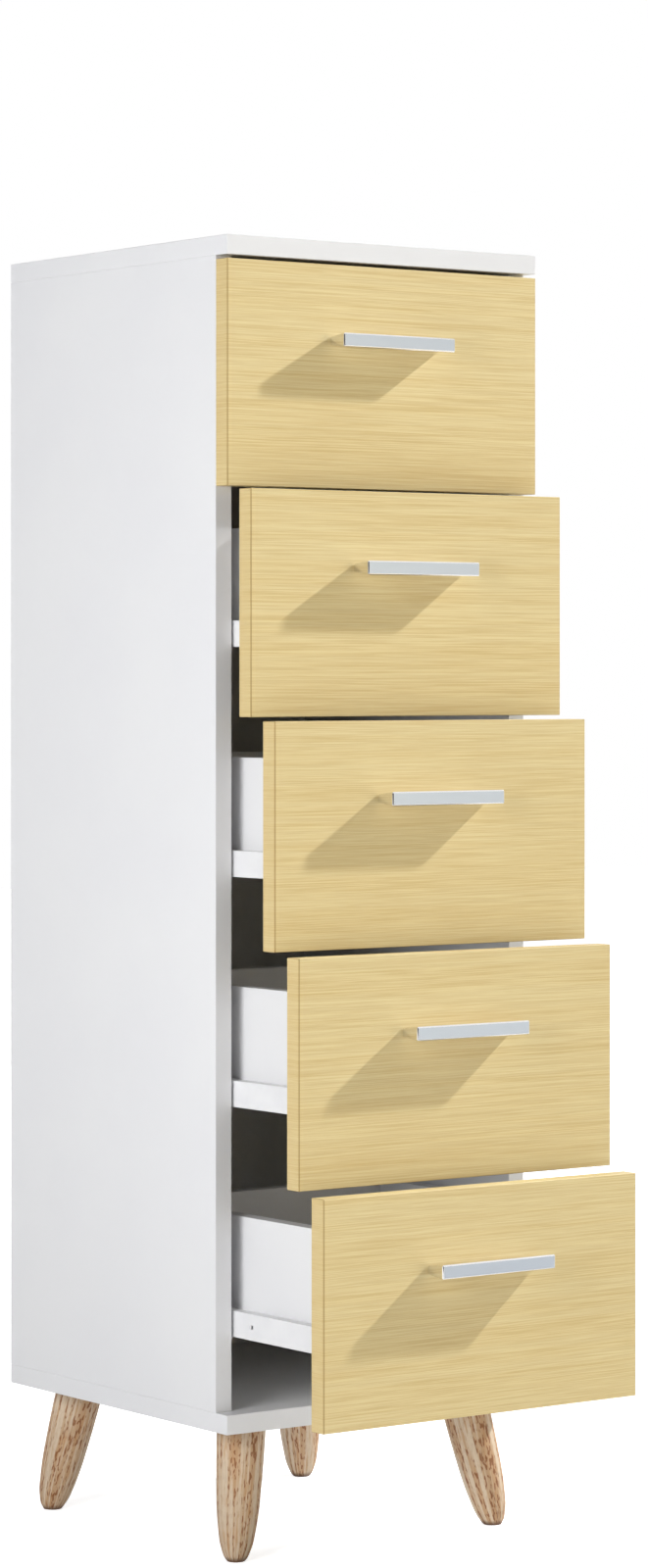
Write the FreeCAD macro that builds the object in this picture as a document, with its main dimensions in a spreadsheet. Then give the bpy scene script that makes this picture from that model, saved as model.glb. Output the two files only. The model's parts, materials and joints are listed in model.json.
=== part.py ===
"""A tall narrow bathroom drawer cabinet: a white carcass on four splayed turned legs, with five
oak-faced drawers on roller runners, each drawer standing a little further open than the one above."""
import FreeCAD, Part
import Sketcher
import os
import re

LEVELS = 5
SIDES = {"left": -1, "right": 1}
TURNED_FLATS = 24

# Driving sizes in millimetres: name, value, what it is
SIZES = [
    ("width", 300, "overall width of the carcass and of each drawer front"),
    ("depth", 310, "top and bottom panels, front to back"),
    ("board", 15, "thickness of the carcass panels"),
    ("leg_height", 102, "floor to the underside of the carcass"),
    ("edge_ease", 0.4, "eased edge of the banding on the visible boards"),
    ("overrun", 2, "how far a cutting shape runs past what it cuts"),

    ("front_board", 15, "thickness of a drawer front"),
    ("front_height", 173, "height of a drawer front"),
    ("front_gap", 3, "gap above and below each drawer front"),
    ("seat_gap", 0.3, "air between a closed front and the carcass side edge"),
    ("drawer_step", 31.1, "how much further a drawer stands open than the one above"),

    ("back_board", 3, "thickness of the carcass back"),
    ("back_inset", 12, "carcass back in from the rear edges"),
    ("back_groove", 5, "depth of the groove that holds the carcass back"),
    ("groove_air", 0.2, "extra width of a groove over the sheet in it"),

    ("runner_gap", 12.5, "carcass side to drawer side, the space for a runner"),
    ("side_board", 12, "thickness of the drawer sides and drawer back"),
    ("side_height", 90, "height of the drawer sides and drawer back"),
    ("side_drop", 28.5, "top of the drawer sides below the top of the front"),
    ("box_air", 4, "air between a closed drawer's box and the carcass back"),
    ("base_board", 3, "thickness of a drawer base"),
    ("base_raise", 9, "drawer base above the bottom edge of the sides"),
    ("base_groove", 4, "depth of the groove round a drawer base"),

    ("steel", 1.1, "sheet thickness of the runners and rails"),
    ("runner_length", 250, "length of a drawer runner"),
    ("runner_height", 20, "height of a drawer runner"),
    ("runner_flange", 12, "flange of the runner under the drawer side"),
    ("runner_tail", 22, "rear end of the runner without its outer wall, for the roller"),
    ("runner_air", 1.5, "air between the rail web and the runner's outer wall"),
    ("slot_back", 100, "punched slot behind the back of the drawer front"),
    ("slot_width", 3, "punched slot in the runner's outer wall, each way"),

    ("rail_set", 14, "rail behind the front edge of the carcass side"),
    ("rail_length", 250, "length of a cabinet rail"),
    ("rail_drop", 2.8, "rail floor below the underside of the runner"),
    ("rail_air", 0.8, "air between the runner and the rail's top flange"),
    ("rail_lip", 4.5, "height of the lip along the rail floor"),
    ("rail_mouth", 44, "front of the rail left open on top, to lift the drawer in"),
    ("bracket_length", 22, "bracket that carries the rail's roller"),
    ("bracket_rise", 4, "bracket above the roller's axis"),
    ("stop_height", 1.8, "stop tab above the rail floor"),
    ("stop_length", 3, "stop tab along the rail"),

    ("roller_radius", 8, "radius of a roller"),
    ("roller_width", 4.5, "width of a roller"),
    ("roller_air", 0.9, "air between a roller and the runner's outer wall"),
    ("roller_side_air", 0.4, "air between a roller and the rail lip"),
    ("roller_gap", 0.3, "air between a roller and its track"),
    ("roller_end", 10, "roller axis from the end of its runner or rail"),
    ("pin_radius", 2, "pin that a roller turns on"),
    ("bore_air", 0.06, "running clearance of a pin in its roller"),
    ("pin_stand", 0.4, "pin beyond the outer face of its roller"),
    ("travel", 185, "how far a drawer runs out from closed"),

    ("handle_length", 108, "length of a handle"),
    ("handle_height", 11.2, "height of a handle's face"),
    ("handle_root", 6.4, "height of a handle where it meets the front"),
    ("handle_depth", 20, "handle's face in front of the drawer front"),
    ("handle_drop", 59.2, "handle centre below the top of the front"),
    ("handle_ease", 0.8, "eased edge of a handle"),

    ("foot_inset", 24, "centre of a foot in from the carcass side"),
    ("foot_setback", 23, "centre of a foot in from the front or the rear"),
    ("leg_splay", 18, "how far a leg leans out sideways, and again front to back"),
    ("leg_top_radius", 18.9, "leg where it meets the carcass"),
    ("leg_belly_radius", 17, "leg at its belly"),
    ("leg_belly_height", 46, "belly of the leg above the floor"),
    ("leg_ankle_radius", 13.2, "leg where its rounded nose starts"),
    ("leg_ankle_height", 15.5, "start of the nose above the floor"),
    ("leg_nose_radius", 9.2, "leg part way down its nose"),
    ("leg_nose_height", 5, "height of that place on the nose"),
    ("leg_tip_radius", 0.5, "tip of the nose, before the floor cut"),
    ("leg_spare", 8, "turned leg past the floor cut, and again past the top cut"),

    ("bolt_radius", 4, "shank of a leg bolt"),
    ("bolt_reach", 28, "leg bolt in the leg"),
    ("bolt_grip", 11, "leg bolt in the bottom panel"),
    ("fit_air", 0.1, "clearance round a fitting in its hole"),

    ("tenon_thickness", 6, "thickness of a loose tenon"),
    ("tenon_width", 50, "loose tenon, front to back"),
    ("tenon_set", 9, "loose tenon in the top or bottom panel"),
    ("tenon_reach", 16, "loose tenon in the carcass side"),
    ("tenon_front", 40, "front loose tenon behind the face of the closed fronts"),
    ("tenon_rear", 220, "rear loose tenon behind the face of the closed fronts"),
]

# Places and sizes that follow from the driving sizes
DERIVED = {
    "face_y": f"({LEVELS - 1} * drawer_step + handle_depth - depth) / 2",
    "rear_y": "face_y + depth",
    "side_y": "face_y + front_board + seat_gap",
    "opening_height": f"{LEVELS} * front_height + {LEVELS + 1} * front_gap",
    "floor_z": "leg_height + board",
    "ceiling_z": "floor_z + opening_height",
    "half_width": "width / 2",
    "inner_x": "half_width - board",
    "back_y": "rear_y - back_inset - back_board",
    "box_x": "inner_x - runner_gap",
    "box_length": "depth - front_board - back_inset - back_board - box_air",
    "box_inner_x": "box_x - side_board",
    "runner_wall": "steel + runner_air",
    "roller_out": "runner_wall + steel + roller_air",
    "roller_in": "roller_out + roller_width",
    "rail_reach": "roller_in + roller_side_air + steel",
    "rail_y": "side_y + rail_set",
    "pin_out": "roller_out - pin_stand",
    "bolt_inset": "foot_inset + leg_splay",
    "bolt_setback": "foot_setback + leg_splay",
    "leg_tilt": "atan(sqrt(2) * leg_splay / leg_height)",
    "leg_stretch": "1 / cos(leg_tilt)",
}

doc = FreeCAD.newDocument("drawer_cabinet")
sizes = doc.addObject("Spreadsheet::Sheet", "sizes")
for row, (alias, number, meaning) in enumerate(SIZES, start=1):
    sizes.set(f"A{row}", meaning)
    sizes.set(f"B{row}", str(number))
    sizes.setAlias(f"B{row}", alias)
doc.recompute()

ALIASES = {alias for alias, number, meaning in SIZES}
nodes = []


def bind(text):
    """Turn plain size names into an expression on the sheet's cells."""
    def swap(match):
        word = match.group(0)
        if word in DERIVED:
            return f"({bind(DERIVED[word])})"
        return f"sizes.{word}" if word in ALIASES else word
    return re.sub(r"[a-z_]\w*", swap, text)


def value(text):
    """The present value of an expression in size names."""
    return float(sizes.evalExpression(bind(text)))


def place(piece, x, y, z):
    """Bind a piece's place to three expressions."""
    for axis, text in zip("xyz", (x, y, z)):
        piece.setExpression(f"Placement.Base.{axis}", bind(text))


def keep(piece, node):
    """Name a finished sub-part, whose label is also its file's name."""
    piece.Label = node
    nodes.append(piece)
    return piece


def box(name, low, size):
    """A plain block from its low corner and its three sizes."""
    block = doc.addObject("Part::Box", name)
    for side, text in zip(("Length", "Width", "Height"), size):
        block.setExpression(side, bind(text))
    place(block, *low)
    return block


def rod(name, base, axis, radius, length):
    """A round bar that starts at base and runs the positive way along an axis."""
    bar = doc.addObject("Part::Cylinder", name)
    turns = {"x": ((0, 1, 0), 90), "y": ((1, 0, 0), -90), "z": ((0, 0, 1), 0)}
    direction, angle = turns[axis]
    bar.Placement.Rotation = FreeCAD.Rotation(FreeCAD.Vector(*direction), angle)
    bar.setExpression("Radius", bind(radius))
    bar.setExpression("Height", bind(length))
    place(bar, *base)
    return bar


def group(name, members):
    """Several separate solids as one object."""
    together = doc.addObject("Part::Compound", name)
    together.Links = members
    return together


def fused(name, members):
    """Several touching solids made one."""
    joined = doc.addObject("Part::MultiFuse", name)
    joined.Shapes = members
    joined.Refine = True
    return joined


def cut(name, base, tools):
    """A solid with the shapes in tools taken out of it."""
    result = doc.addObject("Part::Cut", name)
    result.Base = base
    result.Tool = tools[0] if len(tools) == 1 else group(f"{name}_tools", tools)
    return result


def plane(body, role):
    """One of a body's own origin planes."""
    return next(item for item in body.Origin.OriginFeatures if item.Role == role)


def fixed_point(sketch, geometry, end, point):
    """Bind one end of a line or arc to a pair of expressions."""
    for kind, text in zip(("DistanceX", "DistanceY"), point):
        constraint = Sketcher.Constraint(kind, -1, 1, geometry, end, value(text))
        index = sketch.addConstraint(constraint)
        sketch.setExpression(f"Constraints[{index}]", bind(text))


def outline(body, name, role, points):
    """A closed outline of straight lines through points given as pairs of expressions."""
    sketch = body.newObject("Sketcher::SketchObject", name)
    sketch.AttachmentSupport = [(plane(body, role), "")]
    sketch.MapMode = "FlatFace"
    corners = [FreeCAD.Vector(value(across), value(up), 0) for across, up in points]
    for start, end in zip(corners, corners[1:] + corners[:1]):
        sketch.addGeometry(Part.LineSegment(start, end))
    for index, point in enumerate(points):
        following = (index + 1) % len(points)
        sketch.addConstraint(Sketcher.Constraint("Coincident", index, 2, following, 1))
        fixed_point(sketch, index, 1, point)
    return sketch


def pad(body, name, sketch, length):
    """A sketch carried square to its plane."""
    feature = body.newObject("PartDesign::Pad", name)
    feature.Profile = sketch
    feature.setExpression("Length", bind(length))
    return feature


def eased(body, name, base, size, edges=None):
    """Ease the given edges of a body's last feature, or every edge, with a small chamfer."""
    doc.recompute()
    feature = body.newObject("PartDesign::Chamfer", name)
    feature.Base = (base, edges or ["Edge1"])
    feature.UseAllEdges = edges is None
    feature.setExpression("Size", bind(size))
    return feature


def board(name, low, size):
    """A board with banded edges, slightly eased all round."""
    long, deep, tall = size
    body = doc.addObject("PartDesign::Body", name)
    corners = [("0", "0"), (long, "0"), (long, deep), ("0", deep)]
    blank = pad(body, f"{name}_blank", outline(body, f"{name}_outline", "XY_Plane", corners), tall)
    eased(body, f"{name}_banding", blank, "edge_ease")
    place(body, *low)
    return body


def section_along_y(name, points, start, length):
    """A bent sheet section, given as places across and up, carried backwards from start."""
    body = doc.addObject("PartDesign::Body", name)
    bent = pad(body, f"{name}_length", outline(body, f"{name}_section", "XZ_Plane", points), length)
    bent.Reversed = True
    place(body, "0", start, "0")
    return body


def front_top(level):
    """The top edge of a drawer front."""
    return f"(ceiling_z - front_gap - {level} * (front_height + front_gap))"


def side_bottom(level):
    """The bottom edge of a drawer's sides."""
    return f"({front_top(level)} - side_drop - side_height)"


def runner_bottom(level):
    """The underside of a drawer's runners."""
    return f"({side_bottom(level)} - steel)"


def rail_floor(level):
    """The upper face of the rail floor, which the drawer's own rollers run on."""
    return f"({runner_bottom(level)} - rail_drop)"


def rail_roller_z(level):
    """The axis of the roller at the front of a rail, under the runner's ledge."""
    return f"({runner_bottom(level)} + runner_height - steel - roller_gap - roller_radius)"


def drawer_roller_z(level):
    """The axis of the roller at the rear of a runner, on the rail floor."""
    return f"({rail_floor(level)} + roller_gap + roller_radius)"


def from_wall(sign, inward):
    """A place across the cabinet, measured inward from the inner face of a carcass side."""
    return f"({sign} * (inner_x - ({inward})))"


def low_x(sign, near, far):
    """The lower of two such places, for a shape that runs the positive way."""
    return from_wall(sign, near if sign < 0 else far)


def tenon(name, sign, spot, joint_z, up, air):
    """A flat loose tenon across a corner joint of the carcass, or with air its mortises."""
    below, above = ("tenon_set", "tenon_reach") if up > 0 else ("tenon_reach", "tenon_set")
    middle_x = f"{sign} * (half_width - board / 2)"
    return box(name, (f"{middle_x} - tenon_thickness / 2 - {air}",
                      f"face_y + tenon_{spot} - {air}", f"{joint_z} - {below} - {air}"),
               (f"tenon_thickness + 2 * {air}", f"tenon_width + 2 * {air}",
                f"{below} + {above} + 2 * {air}"))


def mortises(name, sign, joint_z, up):
    """The pockets of the two tenons in one corner joint."""
    return [tenon(f"{name}_mortise_{spot}", sign, spot, joint_z, up, "fit_air")
            for spot in ("front", "rear")]


def carcass():
    """Two full panels, two sides between them, a thin back in grooves, and the loose tenons."""
    slot_x = "inner_x + back_groove"
    slot_y = "back_y - groove_air / 2"
    slot = "back_board + groove_air"
    tenons = []

    for node, low_z, joint_z, up in (("bottom_panel", "leg_height", "floor_z", 1),
                                     ("top_panel", "ceiling_z", "ceiling_z", -1)):
        panel = board(f"{node}_board", ("-half_width", "face_y", low_z), ("width", "depth", "board"))
        slot_z = f"{joint_z} - back_groove" if up > 0 else f"{joint_z} - overrun"
        tools = [box(f"{node}_groove", (f"-({slot_x})", slot_y, slot_z),
                     (f"2 * ({slot_x})", slot, "back_groove + overrun"))]
        for side, sign in SIDES.items():
            tools += mortises(f"{node}_{side}", sign, joint_z, up)
            tenons += [tenon(f"{node}_{side}_tenon_{spot}", sign, spot, joint_z, up, "0")
                       for spot in ("front", "rear")]
        if up > 0:
            tools += [rod(f"{corner}_bolt_hole", (x, y, "leg_height - overrun"), "z",
                          "bolt_radius + fit_air", "bolt_grip + fit_air + overrun")
                      for corner, x, y in leg_tops()]
        keep(cut(node, panel, tools), node)

    for side, sign in SIDES.items():
        node = f"{side}_side_panel"
        low = "-half_width" if sign < 0 else "inner_x"
        panel = board(f"{node}_board", (low, "side_y", "floor_z"),
                      ("board", "rear_y - side_y", "opening_height"))
        groove_x = f"-({slot_x})" if sign < 0 else "inner_x - overrun"
        tools = [box(f"{node}_groove", (groove_x, slot_y, "floor_z - overrun"),
                     ("back_groove + overrun", slot, "opening_height + 2 * overrun"))]
        tools += mortises(f"{node}_lower", sign, "floor_z", 1)
        tools += mortises(f"{node}_upper", sign, "ceiling_z", -1)
        keep(cut(node, panel, tools), node)

    edge = "(back_groove - groove_air)"
    keep(box("back_panel", (f"-(inner_x + {edge})", "back_y", f"floor_z - {edge}"),
             (f"2 * (inner_x + {edge})", "back_board", f"opening_height + 2 * {edge}")), "back_panel")
    keep(group("board_tenons", tenons), "board_tenons")


def leg_tops():
    """Each corner's name and the centre of the leg's top, where its bolt stands."""
    for end, y in (("front", "face_y + bolt_setback"), ("rear", "rear_y - bolt_setback")):
        for side, sign in SIDES.items():
            yield f"{end}_{side}", f"{sign} * (half_width - bolt_inset)", y


def mirrored(name, source, axis, at):
    """A mirror image of a solid across the plane that stands square to an axis at a place."""
    image = doc.addObject("Part::Mirroring", name)
    image.Source = source
    image.Normal = FreeCAD.Vector(*(int(axis == other) for other in "xyz"))
    image.setExpression(f"Base.{axis}", bind(at))
    return image


def turned_leg(name, foot_x, foot_y):
    """A leg with many narrow flats, each the leg's own outline, leaning out to the front left."""
    body = doc.addObject("PartDesign::Body", f"{name}_turning")
    wide = "(leg_top_radius + overrun)"
    corners = [(f"-{wide}", f"-{wide}"), (wide, f"-{wide}"), (wide, wide), (f"-{wide}", wide)]
    full = "(leg_height + 2 * leg_spare) * leg_stretch"
    pad(body, f"{name}_blank", outline(body, f"{name}_square", "XY_Plane", corners), full)
    spots = [("leg_tip_radius", "-leg_spare"), ("leg_nose_radius", "leg_nose_height"),
             ("leg_ankle_radius", "leg_ankle_height"), ("leg_belly_radius", "leg_belly_height"),
             ("leg_top_radius", "leg_height"), ("leg_top_radius", "leg_height + 2 * leg_spare"),
             ("2 * leg_top_radius", "leg_height + 2 * leg_spare"),
             ("2 * leg_top_radius", "-leg_spare")]
    waste = [(radius, f"(({height}) + leg_spare) * leg_stretch") for radius, height in spots]
    flat = body.newObject("PartDesign::Pocket", f"{name}_flat")
    flat.Profile = outline(body, f"{name}_outline", "XZ_Plane", waste)
    flat.Type = "ThroughAll"
    flat.Midplane = True
    flats = body.newObject("PartDesign::PolarPattern", f"{name}_flats")
    flats.Originals = [flat]
    flats.Axis = (plane(body, "Z_Axis"), [""])
    flats.Angle = 360
    flats.Occurrences = TURNED_FLATS
    body.Tip = flats
    body.Placement.Rotation = FreeCAD.Rotation(FreeCAD.Vector(-1, 1, 0), value("leg_tilt"))
    body.setExpression("Placement.Rotation.Angle", bind("leg_tilt"))
    lean = "leg_splay * leg_spare / leg_height"
    place(body, f"{foot_x} - {lean}", f"{foot_y} - {lean}", "-leg_spare")
    return body


def legs():
    """Four splayed legs, one made and three mirrored from it, each drawn up by its own bolt."""
    first = "front_left_leg"
    foot_x = "foot_inset - half_width"
    foot_y = "face_y + foot_setback"
    reach = "2 * leg_top_radius"
    slab = box(f"{first}_slab", (f"{foot_x} - {reach}", f"{foot_y} - {reach}", "0"),
               (f"leg_splay + 2 * {reach}", f"leg_splay + 2 * {reach}", "leg_height"))
    level = doc.addObject("Part::Common", f"{first}_level")
    level.Base = turned_leg(first, foot_x, foot_y)
    level.Tool = slab
    bed = rod(f"{first}_bolt_bed",
              (f"{foot_x} + leg_splay", f"{foot_y} + leg_splay",
               "leg_height - bolt_reach - fit_air"),
              "z", "bolt_radius + fit_air", "bolt_reach + fit_air + overrun")
    front_left = keep(cut(first, level, [bed]), first)
    front_right = mirrored("front_right_leg", front_left, "x", "0")
    keep(front_right, "front_right_leg")
    for side, leg in (("left", front_left), ("right", front_right)):
        rear = mirrored(f"rear_{side}_leg", leg, "y", "(face_y + rear_y) / 2")
        keep(rear, f"rear_{side}_leg")

    bolts = [rod(f"{corner}_bolt", (x, y, "leg_height - bolt_reach"), "z",
                 "bolt_radius", "bolt_reach + bolt_grip") for corner, x, y in leg_tops()]
    keep(group("leg_bolts", bolts), "leg_bolts")


def roller_ring(name, sign, y, z):
    """A nylon roller with its bore, turning about an axis across the cabinet."""
    x = low_x(sign, "roller_out", "roller_in")
    tread = rod(f"{name}_tread", (x, y, z), "x", "roller_radius", "roller_width")
    bore = rod(f"{name}_bore", (x, y, z), "x", "pin_radius + bore_air", "roller_width")
    return cut(name, tread, [bore])


def roller_pin(name, sign, y, z, root):
    """A pin that stands out through a roller from the sheet at root."""
    return rod(f"{name}_pin", (low_x(sign, "pin_out", root), y, z), "x", "pin_radius",
               f"{root} - pin_out")


def cabinet_rail(level, side, sign):
    """A rail of C section on the carcass side, with its stop and its roller's bracket and pin."""
    name = f"rail_{level + 1}_{side}"
    floor = rail_floor(level)
    low = f"({floor} - steel)"
    high = f"({runner_bottom(level)} + runner_height + rail_air + steel)"
    lip = f"({floor} + rail_lip)"
    lip_x = "rail_reach - steel"
    section = [("0", low), ("0", high), ("rail_reach", high), ("rail_reach", f"{high} - steel"),
               ("steel", f"{high} - steel"), ("steel", floor), (lip_x, floor), (lip_x, lip),
               ("rail_reach", lip), ("rail_reach", low)]
    bar = section_along_y(f"{name}_bar", [(from_wall(sign, across), up) for across, up in section],
                          "rail_y", "rail_length")
    mouth = box(f"{name}_mouth",
                (low_x(sign, "steel", "rail_reach + overrun"), "rail_y - overrun",
                 f"{high} - steel - rail_air / 2"),
                ("rail_reach + overrun - steel", "rail_mouth + overrun", "steel + overrun"))
    bracket = box(f"{name}_bracket", (low_x(sign, lip_x, "rail_reach"), "rail_y", floor),
                  ("steel", "bracket_length", f"{rail_roller_z(level)} + bracket_rise - {floor}"))
    dip = "(roller_radius + roller_gap - stop_height)"
    stop_y = (f"side_y + runner_length - roller_end - travel - stop_length - roller_gap"
              f" - sqrt(roller_radius * roller_radius - {dip} * {dip})")
    stop = box(f"{name}_stop", (low_x(sign, "steel", lip_x), stop_y, floor),
               (f"{lip_x} - steel", "stop_length", "stop_height"))
    pin = roller_pin(name, sign, "rail_y + roller_end", rail_roller_z(level), "rail_reach")
    return fused(name, [cut(f"{name}_open", bar, [mouth]), bracket, stop, pin])


def cabinet_rails():
    """Ten rails on the carcass sides, and the pair of rollers at the front of each pair."""
    rails = [cabinet_rail(level, side, sign)
             for level in range(LEVELS) for side, sign in SIDES.items()]
    keep(group("cabinet_rails", rails), "cabinet_rails")
    for level in range(LEVELS):
        node = f"rail_{level + 1}_rollers"
        keep(group(node, [roller_ring(f"{node}_{side}", sign, "rail_y + roller_end",
                                      rail_roller_z(level)) for side, sign in SIDES.items()]), node)


def drawer_runner(name, sign, level, front_back):
    """A runner wrapped round the bottom edge of a drawer side, with its roller's pin at the rear."""
    low = runner_bottom(level)
    high = f"({low} + runner_height)"
    inner_web = "runner_gap - steel"
    section = [("runner_wall", low), ("runner_wall", high), ("runner_gap", high),
               ("runner_gap", f"{low} + steel"), ("runner_gap + runner_flange", f"{low} + steel"),
               ("runner_gap + runner_flange", low), (inner_web, low), (inner_web, f"{high} - steel"),
               ("runner_wall + steel", f"{high} - steel"), ("runner_wall + steel", low)]
    bar = section_along_y(f"{name}_bar", [(from_wall(sign, across), up) for across, up in section],
                          front_back, "runner_length")
    tail = box(f"{name}_tail",
               (low_x(sign, "runner_wall - overrun", inner_web),
                f"{front_back} + runner_length - runner_tail", f"{low} - overrun"),
               ("runner_gap - steel - runner_wall + overrun", "runner_tail + overrun",
                "runner_height + 2 * overrun"))
    slot = box(f"{name}_slot",
               (low_x(sign, "runner_wall - overrun", "runner_wall + steel + overrun"),
                f"{front_back} + slot_back", f"{low} + (runner_height - slot_width) / 2"),
               ("steel + 2 * overrun", "slot_width", "slot_width"))
    pin = roller_pin(name, sign, f"{front_back} + runner_length - roller_end",
                     drawer_roller_z(level), "runner_gap")
    return fused(name, [cut(f"{name}_open", bar, [tail, slot]), pin])


def handle(node, level, face):
    """A solid bar that flares from the drawer front to its face, with eased edges."""
    body = doc.addObject("PartDesign::Body", node)
    section = [("0", "-handle_root / 2"), ("0", "handle_root / 2"),
               ("-handle_depth", "handle_height / 2"), ("-handle_depth", "-handle_height / 2")]
    bar = pad(body, f"{node}_length", outline(body, f"{node}_section", "YZ_Plane", section),
              "handle_length")
    doc.recompute()
    clear_of_front = [f"Edge{number}" for number, edge in enumerate(bar.Shape.Edges, start=1)
                      if min(vertex.Y for vertex in edge.Vertexes) < -value("handle_ease")]
    eased(body, f"{node}_edges", bar, "handle_ease", clear_of_front)
    place(body, "-handle_length / 2", face, f"{front_top(level)} - handle_drop")
    keep(body, node)


def drawer(level):
    """One drawer: front, two sides, back, base, handle, runners and their rollers."""
    name = f"drawer_{level + 1}"
    face = f"(face_y - {level} * drawer_step)"
    front_back = f"({face} + front_board)"
    low = side_bottom(level)
    base_z = f"({low} + base_raise)"
    slot_z = f"({base_z} - groove_air / 2)"
    slot_tall = "base_board + groove_air"
    slot_x = "(box_inner_x + base_groove)"
    wall_length = "(box_length - side_board)"
    back_y = f"({front_back} + {wall_length})"

    panel = board(f"{name}_front_board", ("-half_width", face, f"{front_top(level)} - front_height"),
                  ("width", "front_board", "front_height"))
    slot = box(f"{name}_front_groove", (f"-{slot_x}", f"{front_back} - base_groove", slot_z),
               (f"2 * {slot_x}", "base_groove + overrun", slot_tall))
    keep(cut(f"{name}_front", panel, [slot]), f"{name}_front")

    for side, sign in SIDES.items():
        node = f"{name}_{side}_side"
        wall = box(f"{node}_board", ("-box_x" if sign < 0 else "box_inner_x", front_back, low),
                   ("side_board", "box_length", "side_height"))
        slot = box(f"{node}_groove",
                   (f"-{slot_x}" if sign < 0 else "box_inner_x - overrun",
                    f"{front_back} - overrun", slot_z),
                   ("base_groove + overrun", f"{wall_length} + base_groove + overrun", slot_tall))
        keep(cut(node, wall, [slot]), node)

    wall = box(f"{name}_back_board", ("-box_inner_x", back_y, low),
               ("2 * box_inner_x", "side_board", "side_height"))
    slot = box(f"{name}_back_groove", ("-box_inner_x - overrun", f"{back_y} - overrun", slot_z),
               ("2 * (box_inner_x + overrun)", "base_groove + overrun", slot_tall))
    keep(cut(f"{name}_back", wall, [slot]), f"{name}_back")

    edge = "(base_groove - groove_air)"
    keep(box(f"{name}_base", (f"-(box_inner_x + {edge})", f"{front_back} - {edge}", base_z),
             (f"2 * (box_inner_x + {edge})", f"{wall_length} + 2 * {edge}", "base_board")),
         f"{name}_base")

    handle(f"{name}_handle", level, face)

    runners = [drawer_runner(f"{name}_runner_{side}", sign, level, front_back)
               for side, sign in SIDES.items()]
    keep(group(f"{name}_runners", runners), f"{name}_runners")
    rollers = [roller_ring(f"{name}_roller_{side}", sign,
                           f"{front_back} + runner_length - roller_end", drawer_roller_z(level))
               for side, sign in SIDES.items()]
    keep(group(f"{name}_rollers", rollers), f"{name}_rollers")


def check_and_write():
    """Stop at any failed object, then write each sub-part to its own file."""
    for item in doc.Objects:
        bad = {"Invalid", "Error"} & set(item.State)
        if bad:
            raise RuntimeError(f"{item.Name} is {bad}")
    for node in nodes:
        if node.Shape.isNull() or not node.Shape.isValid() or not node.Shape.Solids:
            raise RuntimeError(f"{node.Label} has no valid shape")
    os.makedirs("parts", exist_ok=True)
    for node in nodes:
        node.Shape.exportStep(f"parts/{node.Label}.step")


carcass()
legs()
cabinet_rails()
for each_level in range(LEVELS):
    drawer(each_level)
doc.recompute()
check_and_write()
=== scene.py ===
"""A tall bathroom drawer cabinet: white boards, five oak-faced drawers on roller runners, bar
handles and four splayed turned legs. The solids come from the frame. This script gives them their
finishes, puts smooth legs and bevelled handles in place of the plain ones, adds the handle screws,
and sets the light and the camera."""

import json
import logging
import math
from dataclasses import dataclass, field, replace
from enum import Enum
from typing import Any, Iterable

import bpy
import numpy as np
from mathutils import Matrix, Vector


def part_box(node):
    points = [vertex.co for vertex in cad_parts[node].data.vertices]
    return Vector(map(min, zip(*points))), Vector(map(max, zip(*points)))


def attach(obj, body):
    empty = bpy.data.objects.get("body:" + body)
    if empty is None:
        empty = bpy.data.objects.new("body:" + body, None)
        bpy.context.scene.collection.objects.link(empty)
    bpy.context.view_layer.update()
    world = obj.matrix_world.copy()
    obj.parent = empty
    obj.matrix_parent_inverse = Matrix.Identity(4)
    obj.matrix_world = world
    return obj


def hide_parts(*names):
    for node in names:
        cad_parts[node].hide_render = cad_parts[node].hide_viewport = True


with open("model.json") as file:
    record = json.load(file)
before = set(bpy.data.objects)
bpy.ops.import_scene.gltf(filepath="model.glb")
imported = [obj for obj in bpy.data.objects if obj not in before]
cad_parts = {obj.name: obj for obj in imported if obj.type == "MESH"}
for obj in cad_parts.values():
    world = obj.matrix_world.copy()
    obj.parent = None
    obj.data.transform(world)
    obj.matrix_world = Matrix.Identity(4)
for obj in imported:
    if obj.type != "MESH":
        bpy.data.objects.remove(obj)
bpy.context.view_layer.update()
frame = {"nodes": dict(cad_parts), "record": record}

log = logging.getLogger("drawer_cabinet")

Colour = tuple[float, float, float]

MM = 0.001
LEVELS = 5

# Most values of a noise lie between these two
NOISE_MIDDLE = (0.3, 0.7)


class Side(Enum):
    """The two sides of the cabinet, seen from the front."""

    LEFT = -1
    RIGHT = 1


class End(Enum):
    """The front and the rear of the cabinet, as the way that each faces along y."""

    FRONT = -1
    REAR = 1


class Linking(Enum):
    """What light linking does with the boards that it names, in Blender's words."""

    OFF = "EXCLUDE"
    ON = "INCLUDE"


# Node trees


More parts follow.
